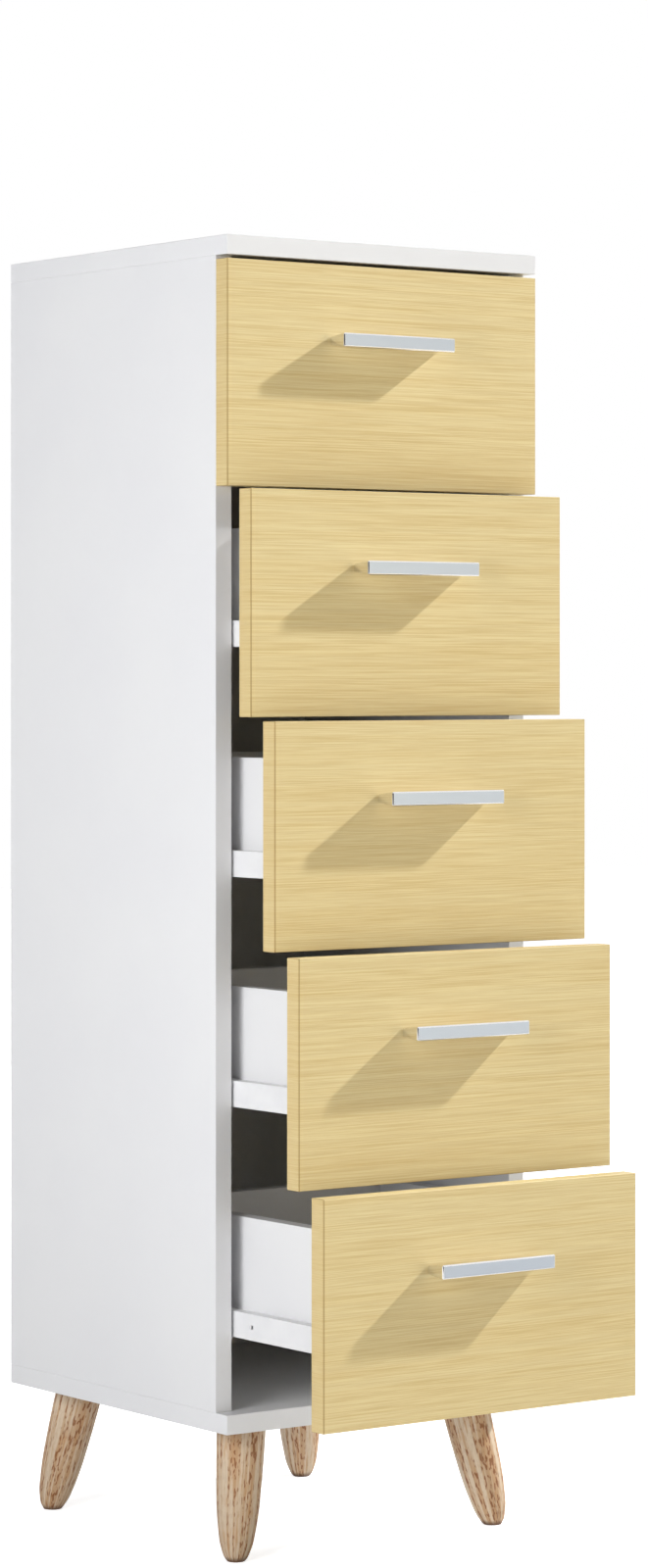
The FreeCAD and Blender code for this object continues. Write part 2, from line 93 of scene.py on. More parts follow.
class Tree:
    """A shader node tree while it is being laid out."""

    def __init__(self, tree: bpy.types.NodeTree) -> None:
        """Start on a tree.

        Args:
            tree: the node tree of a material, a world or a group.
        """
        self.tree = tree

    def add(self, kind: str, **settings: Any) -> bpy.types.Node:
        """Add a node.

        Args:
            kind: Blender's name for the node's type.
            settings: properties to set on it.

        Returns:
            The new node.
        """
        node = self.tree.nodes.new(kind)
        for name, setting in settings.items():
            setattr(node, name, setting)
        return node

    def join(self, source: bpy.types.NodeSocket, target: bpy.types.NodeSocket) -> None:
        """Link one node's output to another's input."""
        self.tree.links.new(source, target)

    def mix(self, factor: bpy.types.NodeSocket, first: Any, second: Any) -> bpy.types.NodeSocket:
        """Blend two colours.

        Args:
            factor: the socket that says how much of the second colour there is.
            first: a colour, or the socket that gives it.
            second: a colour, or the socket that gives it.

        Returns:
            The blended colour's socket.
        """
        node = self.add("ShaderNodeMix", data_type="RGBA")
        self.join(factor, node.inputs[0])
        for socket, colour in ((node.inputs[6], first), (node.inputs[7], second)):
            if isinstance(colour, bpy.types.NodeSocket):
                self.join(colour, socket)
            else:
                socket.default_value = (*colour, 1.0)
        return node.outputs[2]

    def remap(self, source: bpy.types.NodeSocket, low: float, high: float, to_low: float,
              to_high: float) -> bpy.types.NodeSocket:
        """Carry a value from one range to another, held at the ends.

        Args:
            source: the socket that gives the value.
            low: the value that becomes to_low.
            high: the value that becomes to_high.
            to_low: the start of the new range.
            to_high: the end of the new range.

        Returns:
            The new value's socket.
        """
        node = self.add("ShaderNodeMapRange", interpolation_type="SMOOTHSTEP")
        self.join(source, node.inputs["Value"])
        for name, number in (("From Min", low), ("From Max", high), ("To Min", to_low),
                             ("To Max", to_high)):
            node.inputs[name].default_value = number
        return node.outputs["Result"]

    def math(self, operation: str, *terms: Any) -> bpy.types.NodeSocket:
        """Work out a sum, product or other step of arithmetic.

        Args:
            operation: Blender's name for the step.
            terms: numbers, or the sockets that give them.

        Returns:
            The result's socket.
        """
        node = self.add("ShaderNodeMath", operation=operation)
        for socket, term in zip(node.inputs, terms):
            if isinstance(term, bpy.types.NodeSocket):
                self.join(term, socket)
            else:
                socket.default_value = term
        return node.outputs[0]

    def noise(self, place: bpy.types.NodeSocket, scale: float, detail: float,
              roughness: float = 0.5) -> bpy.types.NodeSocket:
        """A cloudy random value.

        Args:
            place: the socket with the coordinates.
            scale: how many features there are to a unit.
            detail: how many finer layers it has.
            roughness: how strong the finer layers are.

        Returns:
            The value's socket, about 0.5 in the mean.
        """
        node = self.add("ShaderNodeTexNoise")
        self.join(place, node.inputs["Vector"])
        node.inputs["Scale"].default_value = scale
        node.inputs["Detail"].default_value = detail
        node.inputs["Roughness"].default_value = roughness
        return node.outputs["Fac"]

    def stretched(self, place: bpy.types.NodeSocket,
                  scale: tuple[float, float, float]) -> bpy.types.NodeSocket:
        """Coordinates stretched for a pattern.

        Args:
            place: the socket with the coordinates in metres.
            scale: features to the metre along each axis.

        Returns:
            The stretched coordinates' socket.
        """
        node = self.add("ShaderNodeMapping")
        self.join(place, node.inputs["Vector"])
        node.inputs["Scale"].default_value = scale
        return node.outputs["Vector"]


class Effects:
    """The effects that several finishes share, each a node group that is built once.

    The scales of the long grain are features to a unit of its stretched coordinates.
    """

    WANDER_SCALE = 0.11
    FIBRE_SCALE = 1.0
    BAND_SCALE = 0.14
    PORE_SCALE = 1.9
    PORE_FADE = 0.09

    _built: dict[str, bpy.types.NodeTree] = {}

    @classmethod
    def _group(cls, name: str, inputs: dict[str, tuple[str, Any]],
               outputs: dict[str, str]) -> tuple[Tree, bpy.types.Node, bpy.types.Node]:
        """Start a node group.

        Args:
            name: the group's name.
            inputs: each input's name, with its socket type and first value.
            outputs: each output's name, with its socket type.

        Returns:
            The group's tree and its input and output nodes.
        """
        group = bpy.data.node_groups.new(name, "ShaderNodeTree")
        for label, (kind, start) in inputs.items():
            socket = group.interface.new_socket(label, in_out="INPUT", socket_type=kind)
            if start is not None:
                socket.default_value = start
        for label, kind in outputs.items():
            group.interface.new_socket(label, in_out="OUTPUT", socket_type=kind)
        tree = Tree(group)
        cls._built[name] = group
        return tree, tree.add("NodeGroupInput"), tree.add("NodeGroupOutput")

    @classmethod
    def long_grain(cls) -> bpy.types.NodeTree:
        """Wood grain on coordinates that are already stretched along the fibres.

        The coordinates are first pushed about by a slow noise, so that the lines wander. Fibres
        is a detailed noise on them, Bands a plainer one at a seventh of the scale, and Pores is
        where a finer noise passes a threshold, which leaves short dark dashes.

        Returns:
            The node group.
        """
        if "long grain" in cls._built:
            return cls._built["long grain"]
        tree, given, out = cls._group(
            "long grain",
            {"Place": ("NodeSocketVector", None), "Wander": ("NodeSocketFloat", 1.0),
             "Pore Start": ("NodeSocketFloat", 0.6)},
            {"Fibres": "NodeSocketFloat", "Bands": "NodeSocketFloat", "Pores": "NodeSocketFloat"})
        slow = tree.add("ShaderNodeTexNoise")
        slow.inputs["Scale"].default_value = cls.WANDER_SCALE
        slow.inputs["Detail"].default_value = 2.0
        tree.join(given.outputs["Place"], slow.inputs["Vector"])
        centred = tree.add("ShaderNodeVectorMath", operation="SUBTRACT")
        centred.inputs[1].default_value = (0.5, 0.5, 0.5)
        tree.join(slow.outputs["Color"], centred.inputs[0])
        pushed = tree.add("ShaderNodeVectorMath", operation="SCALE")
        tree.join(centred.outputs[0], pushed.inputs[0])
        tree.join(given.outputs["Wander"], pushed.inputs["Scale"])
        place = tree.add("ShaderNodeVectorMath", operation="ADD")
        tree.join(given.outputs["Place"], place.inputs[0])
        tree.join(pushed.outputs[0], place.inputs[1])
        spot = place.outputs[0]
        fibres = tree.noise(spot, cls.FIBRE_SCALE, detail=5.0, roughness=0.62)
        tree.join(fibres, out.inputs["Fibres"])
        tree.join(tree.noise(spot, cls.BAND_SCALE, detail=2.0), out.inputs["Bands"])
        fine = tree.noise(spot, cls.PORE_SCALE, detail=1.0, roughness=0.4)
        over = tree.math("SUBTRACT", fine, given.outputs["Pore Start"])
        tree.join(tree.remap(over, 0.0, cls.PORE_FADE, 0.0, 1.0), out.inputs["Pores"])
        return tree.tree

    @classmethod
    def slight_unevenness(cls) -> bpy.types.NodeTree:
        """The faint unevenness of a real surface.

        Cloud is a slow noise for tone and gloss, and Relief a fine noise for the height of a
        bump, both about the middle of the range from 0 to 1.

        Returns:
            The node group.
        """
        if "slight unevenness" in cls._built:
            return cls._built["slight unevenness"]
        tree, given, out = cls._group(
            "slight unevenness",
            {"Place": ("NodeSocketVector", None), "Cloud Scale": ("NodeSocketFloat", 9.0),
             "Relief Scale": ("NodeSocketFloat", 900.0)},
            {"Cloud": "NodeSocketFloat", "Relief": "NodeSocketFloat"})
        for label, output, detail in (("Cloud Scale", "Cloud", 4.0),
                                      ("Relief Scale", "Relief", 2.0)):
            node = tree.add("ShaderNodeTexNoise")
            node.inputs["Detail"].default_value = detail
            tree.join(given.outputs["Place"], node.inputs["Vector"])
            tree.join(given.outputs[label], node.inputs["Scale"])
            tree.join(node.outputs["Fac"], out.inputs[output])
        return tree.tree

    @classmethod
    def place(cls, tree: Tree, group: bpy.types.NodeTree, spot: bpy.types.NodeSocket,
              **values: float) -> bpy.types.Node:
        """Put a shared effect into a material.

        Args:
            tree: the material's tree.
            group: the effect.
            spot: the socket with its coordinates.
            values: the effect's inputs, with underscores for spaces.

        Returns:
            The group node.
        """
        node = tree.add("ShaderNodeGroup", node_tree=group)
        tree.join(spot, node.inputs["Place"])
        for name, number in values.items():
            node.inputs[name.replace("_", " ")].default_value = number
        return node


# Finishes


def linear(code: str) -> Colour:
    """A colour as the shader wants it, by the screen's standard curve.

    The curve is a straight line of slope 1 / 12.92 for the darkest values, and the power 2.4 above
    them.

    Args:
        code: six hexadecimal digits, as a screen shows it.

    Returns:
        Its linear red, green and blue.
    """
    parts = [int(code[at:at + 2], 16) / 255 for at in (0, 2, 4)]
    return tuple(part / 12.92 if part <= 0.04045 else ((part + 0.055) / 1.055) ** 2.4
                 for part in parts)


@dataclass(frozen=True)
class Finish:
    """What every finish has: a name, a gloss and the shader that carries it."""

    name: str
    roughness: tuple[float, float]
    relief_height: float = 0.00001

    def start(self) -> tuple[Tree, bpy.types.Node, bpy.types.NodeSocket]:
        """Make the material with its shader.

        Returns:
            The tree, its Principled shader and the socket of the object's coordinates.
        """
        material = bpy.data.materials.new(self.name)
        material.use_nodes = True
        tree = Tree(material.node_tree)
        shader = next(node for node in material.node_tree.nodes if node.type == "BSDF_PRINCIPLED")
        place = tree.add("ShaderNodeTexCoord").outputs["Object"]
        return tree, shader, place

    def gloss(self, tree: Tree, shader: bpy.types.Node, cloud: bpy.types.NodeSocket) -> None:
        """Let the roughness drift between the finish's two values."""
        tree.join(tree.remap(cloud, *NOISE_MIDDLE, *self.roughness), shader.inputs["Roughness"])

    def relief(self, tree: Tree, shader: bpy.types.Node, height: bpy.types.NodeSocket) -> None:
        """Raise the surface by a height that runs from 0 to 1.

        Args:
            tree: the finish's tree.
            shader: its Principled shader.
            height: the socket that gives the height.
        """
        bump = tree.add("ShaderNodeBump")
        bump.inputs["Distance"].default_value = self.relief_height
        tree.join(height, bump.inputs["Height"])
        tree.join(bump.outputs["Normal"], shader.inputs["Normal"])

    def material(self) -> bpy.types.Material:
        """The finish's material, built the first time that it is asked for.

        Returns:
            The material.
        """
        found = bpy.data.materials.get(self.name)
        if found is None:
            self.build()
            found = bpy.data.materials[self.name]
        return found

    def build(self) -> None:
        """Lay out the finish's nodes."""
        raise NotImplementedError


@dataclass(frozen=True)
class PlainFinish(Finish):
    """An even finish, such as melamine, lacquer, powder coat, nylon or zinc plate."""

    pale: str = field(kw_only=True)
    deep: str = field(kw_only=True)
    cloud_scale: float = 7.0
    relief_scale: float = 1400.0
    metallic: float = 0.0

    def build(self) -> None:
        """Two close tones and the gloss drift over the surface, and a fine relief breaks it."""
        tree, shader, place = self.start()
        uneven = Effects.place(tree, Effects.slight_unevenness(), place,
                               Cloud_Scale=self.cloud_scale, Relief_Scale=self.relief_scale)
        tone = tree.remap(uneven.outputs["Cloud"], *NOISE_MIDDLE, 0.0, 1.0)
        tree.join(tree.mix(tone, linear(self.deep), linear(self.pale)), shader.inputs["Base Color"])
        self.gloss(tree, shader, uneven.outputs["Cloud"])
        self.relief(tree, shader, uneven.outputs["Relief"])
        shader.inputs["Metallic"].default_value = self.metallic


@dataclass(frozen=True)
class OakLaminate(Finish):
    """Pale oak laminate on a drawer front: fine lines across, and a band glued round the edge.

    The glue line lies between line_start and line_end, which are distances from the front's end,
    each with the fade of that side. It is a dark joint, and painted shade where it runs over the
    eased corner. Its strength is first the left end's and then the right's; the right end's is
    weaker because the key lights that end, so the difference between them is painted shade.
    """

    pale: str = "eadfb2"
    middle: str = "e1cc94"
    dark: str = "cdb073"
    glue: str = "9c7a3f"
    # painted shade: the colour that darkens the faces that look along x
    end: str = "c8ac74"
    stretch: tuple[float, float, float] = (13.0, 20.0, 1350.0)
    wander: float = 0.35
    pore_start: float = 0.58
    fibre_range: tuple[float, float] = (0.34, 0.64)
    band_range: tuple[float, float] = (0.34, 0.66)
    band_share: tuple[float, float] = (0.1, 0.25)
    pore_share: float = 0.35
    half_width: float = 150 * MM
    line_start: tuple[float, float] = (1.3 * MM, 1.05 * MM)
    line_end: tuple[float, float] = (0.12 * MM, 0.02 * MM)
    glue_line_and_shade_strength: tuple[float, float] = (0.7, 0.12)
    end_shade_facing: tuple[float, float] = (0.8, 0.95)
    end_shade_share: float = 0.3

    def build(self) -> None:
        """Lines run across the front. Their tone is the fibres' noise between dark and middle,
        lightened by the slower bands and darkened by the pores. The faces that look along x, which
        are the band's, take some of the end colour, a painted shade that darkens them against the
        face.
        The glue line is where the distance from the middle is within a thin range at the front's
        two ends; it is a dark joint, and painted shade where it is drawn stronger at the left end
        and over the eased corner."""
        tree, shader, place = self.start()
        grain = Effects.place(tree, Effects.long_grain(), tree.stretched(place, self.stretch),
                              Wander=self.wander, Pore_Start=self.pore_start)
        fibre = tree.remap(grain.outputs["Fibres"], *self.fibre_range, 0.0, 1.0)
        wood = tree.mix(fibre, linear(self.dark), linear(self.middle))
        lighter = tree.remap(grain.outputs["Bands"], *self.band_range, *self.band_share)
        wood = tree.mix(lighter, wood, linear(self.pale))
        dashes = tree.math("MULTIPLY", grain.outputs["Pores"], self.pore_share)
        wood = tree.mix(dashes, wood, linear(self.dark))
        across = tree.add("ShaderNodeSeparateXYZ")
        tree.join(place, across.inputs[0])
        out = tree.math("ABSOLUTE", across.outputs["X"])
        inner, outer = [tree.remap(out, self.half_width - low, self.half_width - high, *shares)
                        for (low, high), shares in ((self.line_start, (0.0, 1.0)),
                                                    (self.line_end, (1.0, 0.0)))]
        # the glue line is a dark joint; drawing it strong at the left end and faint at the right,
        # which the key lights, is painted shade
        strength = tree.remap(across.outputs["X"], -MM, MM, *self.glue_line_and_shade_strength)
        line = tree.math("MULTIPLY", tree.math("MULTIPLY", inner, outer), strength)
        # painted shade: faces that look along x are darkened towards the end colour
        normal = tree.add("ShaderNodeSeparateXYZ")
        tree.join(tree.add("ShaderNodeNewGeometry").outputs["True Normal"], normal.inputs[0])
        sideways = tree.math("ABSOLUTE", normal.outputs["X"])
        end = tree.remap(sideways, *self.end_shade_facing, 0.0, self.end_shade_share)
        wood = tree.mix(end, wood, linear(self.end))
        tree.join(tree.mix(line, wood, linear(self.glue)), shader.inputs["Base Color"])
        self.gloss(tree, shader, grain.outputs["Fibres"])
        self.relief(tree, shader, grain.outputs["Fibres"])


@dataclass(frozen=True)
class LimedOak(Finish):
    """Turned oak rubbed with pale wax, with rusty flecks that run down the leg."""

    wax: str = "d4c1a8"
    wood: str = "bd9a76"
    fleck: str = "8a5733"
    amber: str = "bb8a58"
    # rim: the colour of a painted contact shadow just above the floor
    rim: str = "5b3b28"
    stretch: tuple[float, float, float] = (640.0, 640.0, 42.0)
    stripe_stretch: tuple[float, float, float] = (330.0, 330.0, 9.0)
    fleck_stretch: tuple[float, float, float] = (430.0, 430.0, 105.0)
    stripe_range: tuple[float, float] = (0.40, 0.60)
    amber_range: tuple[float, float] = (0.50, 0.68)
    amber_share: float = 0.7
    fleck_range: tuple[float, float] = (0.2, 0.8)
    fleck_share: tuple[float, float] = (0.12, 0.95)
    contact_shadow_height: tuple[float, float] = (0.5 * MM, 5.0 * MM)
    contact_shadow_share: float = 0.85

    def build(self) -> None:
        """The grain reads the leg's own coordinates, round and along it. Long stripes choose
        between wax and wood, the fibres add amber, and the pores of a shorter pattern are the dark
        flecks, which keep to the stripes of wood. The last millimetres over the floor are darkened
        towards the rim colour, a painted contact shadow."""
        tree, shader, place = self.start()
        own = tree.add("ShaderNodeAttribute", attribute_name="turned_place")
        spot = own.outputs["Vector"]
        grain = Effects.place(tree, Effects.long_grain(), tree.stretched(spot, self.stretch),
                              Wander=0.5, Pore_Start=0.50)
        short = Effects.place(tree, Effects.long_grain(), tree.stretched(spot, self.fleck_stretch),
                              Wander=0.4, Pore_Start=0.52)
        streaks = tree.noise(tree.stretched(spot, self.stripe_stretch), 1.0, detail=2.0)
        stripes = tree.remap(streaks, *self.stripe_range, 0.0, 1.0)
        colour = tree.mix(stripes, linear(self.wax), linear(self.wood))
        amber = tree.remap(grain.outputs["Fibres"], *self.amber_range, 0.0, self.amber_share)
        colour = tree.mix(amber, colour, linear(self.amber))
        where = tree.math("MULTIPLY", short.outputs["Pores"],
                          tree.remap(stripes, *self.fleck_range, *self.fleck_share))
        colour = tree.mix(where, colour, linear(self.fleck))
        # painted contact shadow: darker over the last millimetres above the floor
        up = tree.add("ShaderNodeSeparateXYZ")
        tree.join(place, up.inputs[0])
        rim = tree.remap(up.outputs["Z"], *self.contact_shadow_height, self.contact_shadow_share, 0.0)
        tree.join(tree.mix(rim, colour, linear(self.rim)), shader.inputs["Base Color"])
        self.gloss(tree, shader, grain.outputs["Fibres"])
        self.relief(tree, shader, grain.outputs["Fibres"])


@dataclass(frozen=True)
class SatinMetal(Finish):
    """A bar with a blasted satin face and polished edges and sides."""

    face: str = "9fa6b1"
    polished: str = "f0eff0"
    polished_roughness: float = 0.07
    face_edge: tuple[float, float] = (-0.995, -0.97)

    def build(self) -> None:
        """Polish is 0 on the face, which looks along -y out of the front, and 1 on the bevels and
        sides, where the normal's y is above face_edge. It picks colour and gloss."""
        tree, shader, place = self.start()
        facing = tree.add("ShaderNodeSeparateXYZ")
        tree.join(tree.add("ShaderNodeNewGeometry").outputs["True Normal"], facing.inputs[0])
        uneven = Effects.place(tree, Effects.slight_unevenness(), place, Cloud_Scale=60.0,
                               Relief_Scale=2600.0)
        polish = tree.remap(facing.outputs["Y"], *self.face_edge, 0.0, 1.0)
        tree.join(tree.mix(polish, linear(self.face), linear(self.polished)),
                  shader.inputs["Base Color"])
        satin = tree.remap(uneven.outputs["Relief"], *NOISE_MIDDLE, *self.roughness)
        blasted = tree.math("MULTIPLY", tree.math("SUBTRACT", 1.0, polish), satin)
        rough = tree.math("ADD", blasted, tree.math("MULTIPLY", polish, self.polished_roughness))
        tree.join(rough, shader.inputs["Roughness"])
        self.relief(tree, shader, uneven.outputs["Relief"])
        shader.inputs["Metallic"].default_value = 1.0


@dataclass(frozen=True)
class PlainWood(Finish):
    """Plain beech, for the loose tenons."""

    pale: str = "dcbf94"
    dark: str = "b98f5e"
    stretch: tuple[float, float, float] = (400.0, 400.0, 60.0)
    fibre_range: tuple[float, float] = (0.35, 0.65)
    pore_share: float = 0.5

    def build(self) -> None:
        """The fibres run up, between two tones."""
        tree, shader, place = self.start()
        grain = Effects.place(tree, Effects.long_grain(), tree.stretched(place, self.stretch),
                              Wander=0.6, Pore_Start=0.58)
        tone = tree.remap(grain.outputs["Fibres"], *self.fibre_range, 0.0, 1.0)
        wood = tree.mix(tone, linear(self.dark), linear(self.pale))
        dashes = tree.math("MULTIPLY", grain.outputs["Pores"], self.pore_share)
        tree.join(tree.mix(dashes, wood, linear(self.dark)), shader.inputs["Base Color"])
        self.gloss(tree, shader, grain.outputs["Fibres"])
        self.relief(tree, shader, grain.outputs["Fibres"])


MELAMINE = PlainFinish("white melamine board", (0.34, 0.46), pale="e8e8e9", deep="e5e5e7")
BACK_SHEET = PlainFinish("white lacquered sheet", (0.5, 0.62), 0.00002, pale="e3e3e2",
                         deep="dfdfde", relief_scale=700.0)
POWDER_COAT = PlainFinish("white powder coat", (0.3, 0.42), 0.00002, pale="eaeaeb",
                          deep="e4e4e6", cloud_scale=40.0, relief_scale=1800.0)
NYLON = PlainFinish("natural nylon", (0.38, 0.5), pale="ecebe6", deep="e2e0d9", cloud_scale=60.0)
ZINC = PlainFinish("bright zinc plate", (0.22, 0.36), pale="c8c9cc", deep="b4b6ba",
                   cloud_scale=220.0, relief_scale=3000.0, metallic=1.0)
FRONT_OAK = OakLaminate("pale oak laminate", (0.42, 0.56), 0.00003)
LEG_OAK = LimedOak("limed turned oak", (0.5, 0.66), 0.00012)
BAR_METAL = SatinMetal("satin bar with polished edges", (0.3, 0.42), 0.000008)
BEECH = PlainWood("plain beech", (0.55, 0.7), 0.00004)

SLOT_FINISHES: dict[str, Finish] = {
    "white_board": MELAMINE,
    "oak_board": FRONT_OAK,
    "white_sheet": BACK_SHEET,
    "white_steel": POWDER_COAT,
    "white_nylon": NYLON,
    "zinc_steel": ZINC,
    "beech": BEECH,
}


# Surfaces


def rows_to_faces(rows: int, columns: int, offset: int = 0) -> np.ndarray:
    """Four-sided faces of a grid whose columns close on themselves.

    Point (row, column) has the number row * columns + column, and each face joins a point to its
    neighbour round the row and to the same two in the next row.

    Args:
        rows: how many rows of points.
        columns: how many points to a row.
        offset: the number of the grid's first point.

    Returns:
        An array of faces, four point numbers each.
    """
    row, column = np.meshgrid(np.arange(rows - 1), np.arange(columns), indexing="ij")
    here = row * columns + column
    beside = row * columns + (column + 1) % columns
    quads = np.stack([here, beside, beside + columns, here + columns], axis=-1)
    return quads.reshape(-1, 4) + offset


def made_piece(name: str, points: np.ndarray, faces: list[list[int]],
               finish: Finish) -> bpy.types.Object:
    """Put worked-out points and faces into a smooth mesh object that sits at the origin.

    Args:
        name: the piece's name.
        points: an array of points in metres.
        faces: the point numbers of each face, seen from outside in turn.
        finish: its finish.

    Returns:
        The new object.
    """
    mesh = bpy.data.meshes.new(name)
    mesh.from_pydata(points.reshape(-1, 3).tolist(), [], faces)
    mesh.polygons.foreach_set("use_smooth", np.full(len(mesh.polygons), True))
    mesh.update()
    mesh.validate()
    mesh.materials.append(finish.material())
    piece = bpy.data.objects.new(name, mesh)
    bpy.context.scene.collection.objects.link(piece)
    return piece


def through_points(at: np.ndarray, knots: np.ndarray, heights: np.ndarray) -> np.ndarray:
    """A smooth curve through points that never overshoots them.

    Between two knots it is the cubic that has their heights and slopes. A slope is the harmonic
    mean of the two runs that meet there, or nothing where they have opposite signs.

    Args:
        at: where the curve is wanted.
        knots: the points' places, rising.
        heights: the points' heights.

    Returns:
        The curve's heights.
    """
    run = np.diff(knots)
    rise = np.diff(heights) / run
    before, after = rise[:-1], rise[1:]
    level = before * after <= 0
    total = np.where(level, 1.0, before + after)
    inner = np.where(level, 0.0, 2 * before * after / total)
    slope = np.concatenate([[rise[0]], inner, [rise[-1]]])
    part = np.clip(np.searchsorted(knots, at) - 1, 0, len(run) - 1)
    t = (at - knots[part]) / run[part]
    start, end = heights[part], heights[part + 1]
    first, last = slope[part], slope[part + 1]
    return ((2 * t ** 3 - 3 * t ** 2 + 1) * start + (t ** 3 - 2 * t ** 2 + t) * run[part] * first
            + (3 * t ** 2 - 2 * t ** 3) * end + (t ** 3 - t ** 2) * run[part] * last)


def settle(piece: bpy.types.Object) -> None:
    """Turn a closed mesh's faces outwards if they came out facing in.

    The volume under the faces, which is a third of the sum of each face's centre times its area
    vector, is negative where they face in. Here the centres are taken from their mean, and the
    third is left out, because only the sign counts.

    Args:
        piece: the mesh object.
    """
    mesh = piece.data
    count = len(mesh.polygons)
    centres, normals, areas = np.empty(count * 3), np.empty(count * 3), np.empty(count)
    mesh.polygons.foreach_get("center", centres)
    mesh.polygons.foreach_get("normal", normals)
    mesh.polygons.foreach_get("area", areas)
    arms = centres.reshape(-1, 3) - centres.reshape(-1, 3).mean(axis=0)
    if ((arms * normals.reshape(-1, 3)).sum(axis=1) * areas).sum() < 0:
        mesh.flip_normals()


# Sub-assemblies


@dataclass
class CadPieces:
    """The boards, sheets, rails and rollers, which keep the shapes of the solids."""

    finishes: dict[str, Finish] = field(default_factory=lambda: dict(SLOT_FINISHES))

    def dress(self) -> int:
        """Give each solid the finish of its material slot.

        Returns:
            How many solids were dressed.
        """
        slots = {part["node"]: part["material_slot"] for part in frame["record"]["subparts"]}
        for node, piece in frame["nodes"].items():
            finish = self.finishes.get(slots[node], MELAMINE)
            piece.data.materials.clear()
            piece.data.materials.append(finish.material())
        return len(slots)


@dataclass
class TurnedLegs:
    """Four smooth turned legs that lean out to the corners, in place of the faceted solids.

    The profile's knots and radii are millimetres up the leg and out from its middle line. Two
    knots lie past the leg's ends, where the floor and the cabinet cut it off.
    """

    height: float = 102 * MM
    inset: float = 24 * MM
    setback: float = 23 * MM
    splay: float = 18 * MM
    knots: tuple[float, ...] = (-8, 0, 2, 5, 15.5, 46, 102, 118)
    radii: tuple[float, ...] = (0.5, 6.6, 8.4, 10.0, 13.3, 17.0, 18.9, 18.9)
    round_steps: int = 72
    long_steps: int = 64
    foot_crowding: float = 1.35
    solve_rounds: int = 30
    grain_radius: float = 14 * MM
    grain_step: float = 0.3

    def surface(self, foot: Vector, top: Vector, phase: float) -> tuple[np.ndarray, np.ndarray]:
        """Points of one leg, and the coordinates that its grain follows.

        The leg is the profile turned about the line from foot to top. A point is the line's point
        at some reach along it, plus the radius there times a direction square to the line. The
        rows are spread from the floor to the underside of the cabinet, closer near the foot. The
        reach at which the surface gets to either level is found by repeating
        reach = (level - radius * the direction's rise) / the line's rise.

        Args:
            foot: the middle of the foot on the floor.
            top: the middle of the leg's top.
            phase: how far the grain is moved along the leg.

        Returns:
            The points, and the grain's coordinates at them.
        """
        axis = np.array(top - foot)
        length = np.linalg.norm(axis)
        along = axis / length
        side = np.cross(along, [0.0, 1.0, 0.0])
        side /= np.linalg.norm(side)
        other = np.cross(along, side)
        angle = np.linspace(0, 2 * np.pi, self.round_steps, endpoint=False)
        out = np.cos(angle)[:, None] * side + np.sin(angle)[:, None] * other
        stretch = length / self.height
        knots = np.array(self.knots) * MM * stretch
        radii = np.array(self.radii) * MM

        def reach_at(level: float) -> np.ndarray:
            """How far along the middle line the surface gets to a level, all round the leg.

            Args:
                level: a height above the floor.

            Returns:
                The reach at each step round.
            """
            reach = np.full(self.round_steps, level / along[2])
            for _ in range(self.solve_rounds):
                reach = (level - through_points(reach, knots, radii) * out[:, 2]) / along[2]
            return reach

        low, high = reach_at(0.0), reach_at(self.height)
        share = np.linspace(0, 1, self.long_steps) ** self.foot_crowding
        reach = low[None, :] + share[:, None] * (high - low)[None, :]
        radius = through_points(reach, knots, radii)
        points = np.array(foot) + reach[..., None] * along + radius[..., None] * out[None]
        grain = np.stack(np.broadcast_arrays(np.cos(angle) * self.grain_radius,
                                             np.sin(angle) * self.grain_radius,
                                             reach + phase), axis=-1)
        return points, grain

    def build(self) -> list[bpy.types.Object]:
        """Build the four legs and put each on the cabinet in place of its solid.

        Returns:
            The legs.
        """
        made = []
        low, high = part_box("bottom_panel")
        for number, (end, side) in enumerate((end, side) for end in End for side in Side):
            node = f"{end.name.lower()}_{side.name.lower()}_leg"
            edge = low.y if end is End.FRONT else high.y
            foot = Vector((side.value * (high.x - self.inset),
                           edge - end.value * self.setback, 0.0))
            lean = Vector((-side.value * self.splay, -end.value * self.splay, self.height))
            points, grain = self.surface(foot, foot + lean, self.grain_step * number)
            rows, columns = points.shape[:2]
            faces = rows_to_faces(rows, columns)[:, ::-1].tolist()
            faces.append(list(range(columns)))
            faces.append(list(range((rows - 1) * columns, rows * columns))[::-1])
            piece = made_piece(f"turned_{node}", points, faces, LEG_OAK)
            place = piece.data.attributes.new("turned_place", "FLOAT_VECTOR", "POINT")
            place.data.foreach_set("vector", grain.astype(np.float32).ravel())
            settle(piece)
            for cap in piece.data.polygons[-2:]:
                cap.use_smooth = False
            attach(piece, "cabinet")
            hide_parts(node)
            made.append(piece)
        return made


